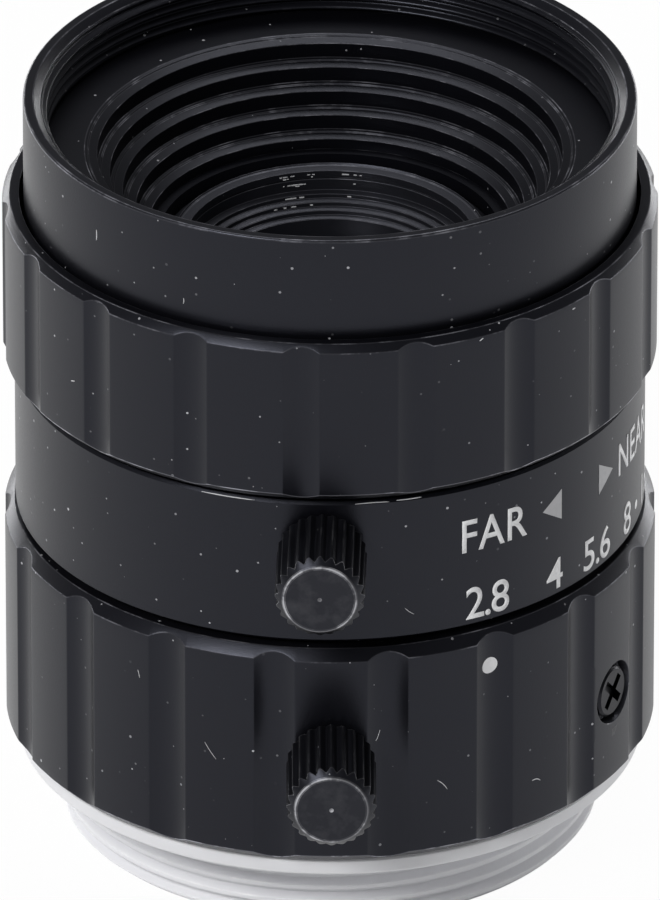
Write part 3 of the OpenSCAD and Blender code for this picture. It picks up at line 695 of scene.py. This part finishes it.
@dataclass
class FrontHood:
    """Front barrel, filter thread, stepped light trap and front retaining ring."""

    rim: float = 33.6
    outer: float = 14.38
    major: float = 13.53
    minor: float = 13.26
    pitch: float = 0.5
    floor: float = 30.98
    trap_r: float = 11.5
    trap_z: float = 30.82
    step: float = 0.6
    drop: float = 0.96
    steps: int = 5
    cell_top: float = 26.2
    nut_wall: float = 6.8
    nut_ledge: float = 6.36
    fine_step: float = 0.29

    def barrel(self, material: bpy.types.Material) -> bpy.types.Object:
        """Builds the plain barrel with its slim rim.

        Args:
            material: the finish.
        Returns:
            The object.
        """
        piece = lathe("front_barrel_dressed", [
            (13.5, 23.2), (self.outer, 23.2), (self.outer, self.rim - 0.08), (self.outer - 0.08, self.rim),
            (self.major + 0.36, self.rim), (self.major, self.rim - 0.3), (self.major, 30.1), (13.0, 30.1), (13.0, 25.2), (12.08, 25.2), (12.08, 24.4),
            (13.5, 24.4)], 0.05, 480)
        dress(piece, material)
        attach(piece, "lens_cell")
        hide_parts("front_barrel")
        return piece

    def filter_thread(self, material: bpy.types.Material) -> bpy.types.Object:
        """Builds the fine filter thread as a thin sleeve with a helical inner face.

        Its radius is the major radius less the thread depth times a triangle wave of
        height / pitch minus angle / full turn.

        Args:
            material: the finish.
        Returns:
            The object.
        """
        rows = 420
        angles = np.arange(rows) * 2 * math.pi / rows
        height = np.linspace(self.rim - 0.32, self.floor + 0.02, 64)
        phase = height[None, :] / self.pitch - angles[:, None] / (2 * math.pi)
        wave = np.clip(np.abs((phase % 1) * 2 - 1) * 1.4 - 0.2, 0, 1)
        fade = np.clip((self.rim - 0.32 - height) / 0.3, 0, 1)[None, :]
        r = self.major - 0.02 - (self.major - self.minor) * wave * fade
        inner = np.stack([r, np.broadcast_to(height, r.shape)], axis=2)
        back = np.array([[(self.major - 0.003, self.floor + 0.02), (self.major - 0.003, self.rim - 0.32)]])
        outline = np.concatenate([inner, np.broadcast_to(back, (rows, 2, 2))], axis=1)
        crest = np.concatenate([0.1 * (wave > 0.93), np.zeros((rows, 2))], axis=1)
        piece = spin("filter_thread", angles, outline, crest)
        dress(piece, material)
        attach(piece, "lens_cell")
        return piece

    def trap(self, material: bpy.types.Material) -> bpy.types.Object:
        """Builds the stepped light trap: a flat rim, then sloping treads and risers going down.

        Args:
            material: the finish.
        Returns:
            The object.
        """
        low_r = self.trap_r - self.steps * self.step
        corners = [(low_r, self.cell_top), (low_r + 0.9, self.cell_top), (12.98, 29.1), (12.98, 30.1),
                   (self.major - 0.03, 30.1), (self.major - 0.03, self.floor)]
        for i in range(self.steps):
            r, z = self.trap_r - i * self.step, self.trap_z - i * self.drop
            corners += [(r, z), (r - 0.14, z - 0.05), (r - 0.18, z - 0.1), (r - self.step, z - 0.22)]
            if i < self.steps - 1:
                corners.append((r - self.step, z - self.drop))
        piece = lathe("light_trap_dressed", corners, 0.035, 420)
        dress(piece, material)
        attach(piece, "lens_cell")
        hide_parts("stepped_baffle")
        return piece

    def retaining_ring(self, material: bpy.types.Material) -> bpy.types.Object:
        """Builds the ring that holds the front element, with its fine grooved bore.

        Args:
            material: the finish.
        Returns:
            The object.
        """
        top, wall, ledge = self.cell_top - 0.1, self.nut_wall, self.nut_ledge
        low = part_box("front_retaining_ring")[0][2] / MM
        corners = [(7.05, low), (8.03, low), (8.03, top - 0.65), (7.42, top - 0.08), (7.36, top),
                   (7.3, top - 0.08), (7.24, top - 0.1), (wall, top - 0.14), (wall, top - 0.5),
                   (wall + 0.08, top - 0.54), (wall, top - 0.58), (wall, top - 1.15)]
        for i in range(3):
            r, z = ledge - i * self.fine_step, top - 1.15 - i * self.fine_step
            corners += [(r, z), (r, z - 0.7 * self.fine_step), (r - 0.7 * self.fine_step, z - self.fine_step)]
        bore = ledge - 3 * self.fine_step
        corners += [(bore, top - 1.15 - 3 * self.fine_step), (bore, low + 0.5)]
        piece = lathe("retaining_ring_dressed", corners, 0.02, 360)
        dress(piece, material)
        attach(piece, "lens_cell")
        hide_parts("front_retaining_ring")
        return piece


@dataclass
class Print:
    """White printing wrapped around the middle band, and the iris ring's index dot."""

    band_r: float = 14.85
    proud: float = 0.008
    camera_turn: float = 1.4

    def wrap(self, name: str, mesh: bmesh.types.BMesh, angle: float, base: float, ring: FlutedRing,
             body: str, material: bpy.types.Material) -> bpy.types.Object:
        """Bends flat faces around the axis and gives them a film's thickness.

        A flat point (x, y) goes to angle + x / radius around, and to base + y in height, on the
        surface of the ring, or on the plain band where no ring is given.

        Args:
            name: the piece's name.
            mesh: flat faces in millimetres, x along the band and y up, centred on x.
            angle: where their middle goes, in degrees.
            base: height of their base line.
            ring: the fluted ring that the print lies on, or None.
            body: the body that carries the print.
            material: the ink.
        Returns:
            The object.
        """
        bmesh.ops.triangulate(mesh, faces=mesh.faces[:])
        for _ in range(2):
            long_edges = [e for e in mesh.edges if e.calc_length() > 0.45]
            bmesh.ops.subdivide_edges(mesh, edges=long_edges, cuts=1)
            bmesh.ops.triangulate(mesh, faces=mesh.faces[:])
        flat = bpy.data.meshes.new(name)
        mesh.to_mesh(flat)
        mesh.free()
        count = len(flat.vertices)
        local = np.empty(count * 3, np.float32)
        flat.vertices.foreach_get("co", local)
        x, y, _ = local.reshape(-1, 3).T
        around = math.radians(angle) + x / self.band_r
        out = (ring.side(around) if ring else self.band_r) + self.proud
        placed = np.stack([out * np.sin(around), -out * np.cos(around), base + y], axis=1) * MM
        flat.vertices.foreach_set("co", placed.astype(np.float32).ravel())
        flat.update()
        piece = bpy.data.objects.new(name, flat)
        bpy.context.scene.collection.objects.link(piece)
        film = piece.modifiers.new("film", "SOLIDIFY")
        film.thickness = 0.006 * MM
        film.offset = -1
        dress(piece, material)
        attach(piece, body)
        return piece

    def words(self, name: str, text: str, angle: float, base: float, height: float, width: float,
              spacing: float, material: bpy.types.Material) -> bpy.types.Object:
        """Prints generic words or numbers.

        Args:
            name: the piece's name.
            text: what is printed.
            angle: the middle of the text, as the photograph's camera sees it, in degrees.
            base: height of the base line.
            height: height of the capitals.
            width: width of the whole text along the band.
            spacing: spacing of the letters.
            material: the ink.
        Returns:
            The object.
        """
        curve = bpy.data.curves.new(name, "FONT")
        curve.body = text
        curve.resolution_u = 6
        curve.space_character = spacing
        curve.offset = 0.007
        holder = bpy.data.objects.new(name, curve)
        bpy.context.scene.collection.objects.link(holder)
        bpy.context.view_layer.update()
        flat = bmesh.new()
        made = holder.to_mesh()
        flat.from_mesh(made)
        holder.to_mesh_clear()
        bpy.data.objects.remove(holder)
        bmesh.ops.remove_doubles(flat, verts=flat.verts[:], dist=1e-5)
        xs = [v.co.x for v in flat.verts]
        ys = [v.co.y for v in flat.verts]
        low, high = max(min(ys), 0.0), max(ys)
        middle, span = (min(xs) + max(xs)) / 2, max(xs) - min(xs)
        for v in flat.verts:
            v.co.x = (v.co.x - middle) * width / span
            v.co.y = (v.co.y - low) * height / (high - low)
        return self.wrap(name, flat, angle + self.camera_turn, base, None, "fixed_barrel", material)

    def pointer(self, name: str, way: Marking, start: float, end: float, middle: float, height: float,
                material: bpy.types.Material) -> bpy.types.Object:
        """Prints a triangle that points around the band.

        Args:
            name: the piece's name.
            way: the side that it points to.
            start: its first angle in degrees.
            end: its last angle.
            middle: height of its point.
            height: height of its back.
            material: the ink.
        Returns:
            The object.
        """
        half = math.radians(end - start) / 2 * self.band_r
        flat = bmesh.new()
        tip = flat.verts.new((half * way.value, 0, 0))
        back = [flat.verts.new((-half * way.value, side * height / 2, 0)) for side in (-1, 1)]
        order = [tip, back[1], back[0]] if way is Marking.RIGHT else [tip, back[0], back[1]]
        flat.faces.new(order)
        return self.wrap(name, flat, (start + end) / 2 + self.camera_turn, middle, None,
                         "fixed_barrel", material)

    def dot(self, name: str, angle: float, middle: float, radius: float, ring: FlutedRing, body: str,
            material: bpy.types.Material) -> bpy.types.Object:
        """Prints a round dot.

        Args:
            name: the piece's name.
            angle: its middle, in degrees.
            middle: its height.
            radius: its radius.
            ring: the fluted ring that it lies on, or None for the plain band.
            body: the body that carries it.
            material: the ink.
        Returns:
            The object.
        """
        flat = bmesh.new()
        bmesh.ops.create_circle(flat, cap_ends=True, radius=radius, segments=32)
        bmesh.ops.recalc_face_normals(flat, faces=flat.faces[:])
        return self.wrap(name, flat, angle + self.camera_turn, middle, ring, body, material)

    def build(self, ink: bpy.types.Material, thin: bpy.types.Material, iris: FlutedRing) -> list:
        """Prints both rows of the band and the index dot.

        Args:
            ink: the white ink.
            thin: the thinner ink of the triangles.
            iris: the ring that carries the index dot.
        Returns:
            The objects.
        """
        upper, lower = 16.6, 13.0
        arc = math.radians(1) * self.band_r
        rows = [("print_far", "FAR", 31.4, upper, 1.7, 13.8 * arc, 1.05),
                ("print_near", "NEAR", 74.9, upper, 1.7, 18.4 * arc, 1.05),
                ("print_2_8", "2.8", 29.8, lower, 1.66, 9.0 * arc, 0.92), ("print_4", "4", 45.1, lower, 1.6, 4.1 * arc, 1),
                ("print_5_6", "5.6", 57.7, lower, 1.62, 9.0 * arc, 0.92), ("print_8", "8", 70.2, lower, 1.62, 3.9 * arc, 1),
                ("print_16", "16", 84.6, lower, 1.6, 7.2 * arc, 1)]
        made = [self.words(*row, ink) for row in rows]
        made.append(self.pointer("print_to_far", Marking.LEFT, 42.0, 46.8, 17.4, 1.6, thin))
        made.append(self.pointer("print_to_near", Marking.RIGHT, 58.0, 63.1, 17.4, 1.6, thin))
        made.append(self.dot("print_stop_dot", 75.8, 13.75, 0.23, None, "fixed_barrel", ink))
        made.append(self.dot("index_dot", 29.6, 10.4, 0.42, iris, "iris_ring", ink))
        return made


@dataclass
class DebrisAndGlints:
    """Fibres of fluff and short scratches on the outside, one thin ribbon each, and painted glints on the front
    retaining ring.
    """

    iris: FlutedRing
    focus: FlutedRing

    def fibre(self, name: str, surface: float, ring: FlutedRing, body: str, mark: tuple,
              material: bpy.types.Material) -> bpy.types.Object:
        """Lays one fibre: a ribbon along an arc of a circle, set on the surface.

        In the flat its middle line turns from heading h at its start by a total bend b, so a
        point at share t has heading h + b t, and the line is the running sum of those steps.

        Args:
            name: the piece's name.
            surface: radius of a plain surface.
            ring: the fluted ring that it lies on, or None.
            body: the body that carries it.
            mark: angle, height, length, width, heading and bend; millimetres and degrees.
            material: the finish.
        Returns:
            The object.
        """
        angle, height, length, width, heading, bend = mark
        t = np.linspace(0, 1, 13)
        turn = np.radians(heading + bend * t)
        x = np.concatenate([[0], np.cumsum(np.cos(turn[:-1]))]) * length / 12
        y = np.concatenate([[0], np.cumsum(np.sin(turn[:-1]))]) * length / 12
        half = 0.5 * width * np.sqrt(np.clip(np.sin(math.pi * t) + 0.25, 0, 1))
        sides = [(x - side * half * np.sin(turn), y + side * half * np.cos(turn)) for side in (-1, 1)]
        rows = []
        for lift in (0.004, 0.012):
            for sx, sy in sides:
                around = math.radians(angle) + sx / surface
                r = (ring.side(around) if ring else surface) + lift
                rows.append(np.stack([r * np.sin(around), -r * np.cos(around), height + sy], axis=1))
        points = np.stack([rows[0], rows[1], rows[3], rows[2]], axis=1)
        i = np.arange(12)[:, None] * 4
        j = np.arange(4)[None, :]
        faces = np.stack([i + j, i + (j + 1) % 4, i + 4 + (j + 1) % 4, i + 4 + j], axis=2).reshape(-1, 4)
        ends = np.array([[3, 2, 1, 0], [48, 49, 50, 51]])
        piece = make_mesh(name, points.reshape(-1, 3), np.concatenate([faces[:, ::-1], ends[:, ::-1]]))
        dress(piece, material)
        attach(piece, body)
        return piece

    def glints(self, name: str, count: int, material: bpy.types.Material) -> bpy.types.Object:
        """Paints glints on the front retaining ring: bright flakes that stand for the highlights where its turned
        face catches the light.

        Each flake is a small closed box, width along the ring and height along the axis, on one of
        a few levels of the ring, around a middle angle.

        Args:
            name: the piece's name.
            count: how many flakes.
            material: their finish.
        Returns:
            The object.
        """
        draw = np.random.default_rng(7)
        levels = np.array([(6.8, 25.78), (6.8, 25.66), (6.8, 25.3), (6.8, 25.22), (6.36, 24.84), (6.07, 24.55)])
        pick = draw.choice(len(levels), count, p=[0.3, 0.12, 0.24, 0.1, 0.12, 0.12])
        middle = np.where(draw.random(count) < 0.8, 197.0, 174.0)
        angle = np.radians(middle + draw.normal(0, 1, count) * np.where(middle > 180, 4.2, 2.4))
        wide = draw.uniform(0.03, 0.07, count) * np.where(pick >= 3, 1.8, 1.0)
        tall = draw.uniform(0.018, 0.034, count)
        r = levels[pick, 0, None] - np.array([0, 0.012])[None, :]
        corner = np.array([(-1, -1), (1, -1), (1, 1), (-1, 1)], float)
        around = angle[:, None] + corner[None, :, 0] * wide[:, None] / 6.5
        up = levels[pick, 1, None] + corner[None, :, 1] * tall[:, None]
        points = np.stack([r[:, :, None] * np.sin(around)[:, None], -r[:, :, None] * np.cos(around)[:, None],
                           np.broadcast_to(up[:, None], (count, 2, 4))], axis=3)
        sides = np.array([(0, 1, 2, 3), (7, 6, 5, 4), (0, 4, 5, 1), (1, 5, 6, 2), (2, 6, 7, 3), (3, 7, 4, 0)])
        faces = (np.arange(count)[:, None, None] * 8 + sides[None]).reshape(-1, 4)
        piece = make_mesh(name, points.reshape(-1, 3), faces)
        piece.data.polygons.foreach_set("use_smooth", np.zeros(len(piece.data.polygons), bool))
        dress(piece, material)
        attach(piece, "lens_cell")
        return piece

    def build(self, lint_and_glint: bpy.types.Material) -> list:
        """Lays every fibre and scratch.

        Args:
            lint_and_glint: their finish, which also paints the glints.
        Returns:
            The objects.
        """
        marks = [
            (14.38, None, "lens_cell", (-47.6, 31.0, 0.55, 0.05, 80, 20)),
            (14.38, None, "lens_cell", (-26.8, 29.4, 0.3, 0.035, 75, 30)),
            (15.5, self.focus, "focus_ring", (-50.3, 23.6, 0.3, 0.05, 20, 0)),
            (15.5, self.focus, "focus_ring", (28.2, 28.0, 0.22, 0.05, 30, 0)),
            (15.5, self.focus, "focus_ring", (48.5, 27.9, 0.2, 0.06, 0, 0)),
            (14.85, None, "fixed_barrel", (5.9, 19.95, 1.6, 0.04, 4, -8)),
            (14.85, None, "fixed_barrel", (13.4, 20.0, 1.2, 0.05, -2, 6)),
            (14.85, None, "fixed_barrel", (-22.3, 19.96, 2.6, 0.05, 0, 0)),
            (14.85, None, "fixed_barrel", (15.0, 14.2, 0.6, 0.03, -50, 20)),
            (15.5, self.iris, "iris_ring", (20.5, 5.0, 0.75, 0.035, -35, -30)),
            (15.5, self.iris, "iris_ring", (39.5, 3.6, 0.55, 0.05, 15, -70)),
            (15.5, self.iris, "iris_ring", (-21.0, 6.9, 1.0, 0.025, -60, 12)),
            (15.5, self.iris, "iris_ring", (9.5, 7.4, 0.6, 0.03, 60, 20)),
            (15.5, self.iris, "iris_ring", (-34.0, 9.4, 0.4, 0.03, 100, 10)),
        ]
        return [self.fibre("lint_%02d" % (i + 1), r, ring, body, mark, lint_and_glint)
                for i, (r, ring, body, mark) in enumerate(marks)]


@dataclass
class Studio:
    """Pale floor, soft light and the camera of the photograph's view."""

    elevation: float = 28.9
    azimuth: float = 1.4
    distance: float = 1050.0
    target_z: float = 14.65
    lens: float = 890.0
    floor_z: float = -3.85
    floor_gloss: float = 0.52

    def camera(self) -> None:
        """Stands the camera at the photograph's viewing angle."""
        e, a = math.radians(self.elevation), math.radians(self.azimuth)
        data = bpy.data.cameras.new("camera")
        data.lens = self.lens
        data.sensor_width = 36
        data.clip_end = 20
        eye = bpy.data.objects.new("camera", data)
        bpy.context.scene.collection.objects.link(eye)
        out = np.array([math.sin(a) * math.cos(e), -math.cos(a) * math.cos(e), math.sin(e)])
        eye.location = (out * self.distance + np.array([0, 0, self.target_z])) * MM
        eye.rotation_euler = (math.pi / 2 - e, 0, a)
        bpy.context.scene.camera = eye

    def lamp(self, name: str, place: tuple, size: tuple, power: float) -> None:
        """Hangs one soft lamp that faces the lens.

        Args:
            name: its name.
            place: where it hangs, in millimetres.
            size: its width and height in millimetres.
            power: its power in watts.
        """
        data = bpy.data.lights.new(name, "AREA")
        data.shape = "RECTANGLE"
        data.size, data.size_y = size[0] * MM, size[1] * MM
        data.energy = power
        lamp = bpy.data.objects.new(name, data)
        bpy.context.scene.collection.objects.link(lamp)
        lamp.location = np.array(place) * MM
        aim = np.array([0, 0, self.target_z]) - np.array(place)
        flat = math.hypot(aim[0], aim[1])
        lamp.rotation_euler = (math.atan2(flat, -aim[2]), 0, math.atan2(aim[1], aim[0]) - math.pi / 2)

    def floor(self) -> None:
        """Lays the pale floor, which shows white to the camera and still takes the shadow."""
        material, tree, out = blank_material("pale floor")
        path = add_node(tree, "ShaderNodeLightPath")
        seen = add_node(tree, "ShaderNodeMath", {0: path.outputs["Is Camera Ray"],
                                                 1: path.outputs["Is Transmission Ray"]}, operation="MAXIMUM")
        share = add_node(tree, "ShaderNodeMath", {0: seen.outputs[0], 1: 0.97}, operation="MULTIPLY")
        gloss = add_node(tree, "ShaderNodeMath", {0: path.outputs["Is Glossy Ray"], 1: self.floor_gloss},
                         operation="MULTIPLY")
        share = add_node(tree, "ShaderNodeMath", {0: share.outputs[0], 1: gloss.outputs[0]}, operation="MAXIMUM")
        paper = add_node(tree, "ShaderNodeBsdfDiffuse", {"Color": linear("f4f4f4")})
        white = add_node(tree, "ShaderNodeEmission", {"Color": linear("ffffff"), "Strength": 1.0})
        mix = add_node(tree, "ShaderNodeMixShader", {0: share.outputs[0], 1: paper.outputs[0], 2: white.outputs[0]})
        tree.links.new(mix.outputs[0], out.inputs["Surface"])
        side = 3000.0
        points = np.array([(-side, -side, 0), (side, -side, 0), (side, side, 0), (-side, side, 0)], float)
        points[:, 2] = self.floor_z - 0.01
        plane = make_mesh("floor", points, np.array([[0, 1, 2, 3]]))
        dress(plane, material)

    def world(self) -> None:
        """Fills the room with a soft even light, white where the camera sees it."""
        world = bpy.data.worlds.new("studio")
        bpy.context.scene.world = world
        world.use_nodes = True
        tree = world.node_tree
        tree.nodes.clear()
        out = tree.nodes.new("ShaderNodeOutputWorld")
        path = add_node(tree, "ShaderNodeLightPath")
        strength = add_node(tree, "ShaderNodeMapRange", {"Value": path.outputs["Is Camera Ray"],
                                                         "To Min": 0.16, "To Max": 1.08})
        sky = add_node(tree, "ShaderNodeBackground", {"Color": linear("f6f7fb"),
                                                      "Strength": strength.outputs["Result"]})
        tree.links.new(sky.outputs[0], out.inputs["Surface"])

    def build(self) -> None:
        """Sets up the view and the light."""
        self.camera()
        self.floor()
        self.world()
        self.lamp("top_back_box", (0, 300, 640), (620, 200), 1.8)
        self.lamp("left_box", (-480, 420, 42), (800, 84), 1.8)
        self.lamp("right_box", (480, 420, 42), (800, 84), 1.8)
        self.lamp("front_box", (-400, -560, 640), (360, 300), 5.0)


def main() -> None:
    """Builds each group in order and reports its pieces."""
    logging.basicConfig(level=logging.INFO)
    bpy.context.scene.view_settings.view_transform = "Standard"
    black, hood, silver = BLACK.build(), HOOD_BLACK.build(), SILVER.build()
    ring_black, knob = RING_BLACK.build(), KNOB_BLACK.build()
    steel, dark, blade, glass = STEEL.build(), DARK_STEEL.build(), BLADE.build(), GLASS.build()
    ink = WHITE_INK.build()
    by_node = {"iris_drive_screw": dark, "iris_rotor": steel, "iris_drive_arm": steel, "cell_guide_pins": steel,
               "main_barrel": black, "lens_cell": hood, "rear_cell": black}
    for name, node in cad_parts.items():
        finish = by_node.get(name, hood)
        if "element" in name:
            finish = glass
        if "blade" in name:
            finish = blade
        dress(node, finish)
    Studio().build()
    iris = FlutedRing("iris_ring_dressed", "iris_ring", 0.95, 12.3, 15.38, 14.3, 0.42, 0.5, 11.6,
                      recess=(62.0, 5.8, 1.57, 14.78, 1.2))
    focus = FlutedRing("focus_ring_dressed", "focus_ring", 20.35, 28.55, 15.38, 14.58, 0.35, 0.35, -3.6,
                       web=(13.25, 22.0), depth=0.22)
    pieces = [
        MountRing().build(silver),
        iris.build(black),
        focus.build(black),
        KnurledScrew("iris_lock_screw", 1.6, 15.55, 6.6).build(knob),
        KnurledScrew("focus_lock_screw", 0.0, 14.95, 17.5).build(knob),
    ]
    front = FrontHood()
    pieces += [front.barrel(black), front.filter_thread(black), front.trap(hood),
               front.retaining_ring(ring_black)]
    pieces += Print().build(ink, THIN_INK.build(), iris)
    debris_and_glints = DebrisAndGlints(iris, focus)
    lint_and_glint = LINT_AND_GLINT.build()
    # ring_glints are painted highlights: pale flakes on the retaining ring where a lamp's glints fall.
    pieces += debris_and_glints.build(lint_and_glint) + [debris_and_glints.glints("ring_glints", 44, lint_and_glint)]
    for piece in pieces:
        LOG.info("%s: %d faces", piece.name, len(piece.data.polygons))
    bpy.context.view_layer.update()


if __name__ == "__main__":
    main()
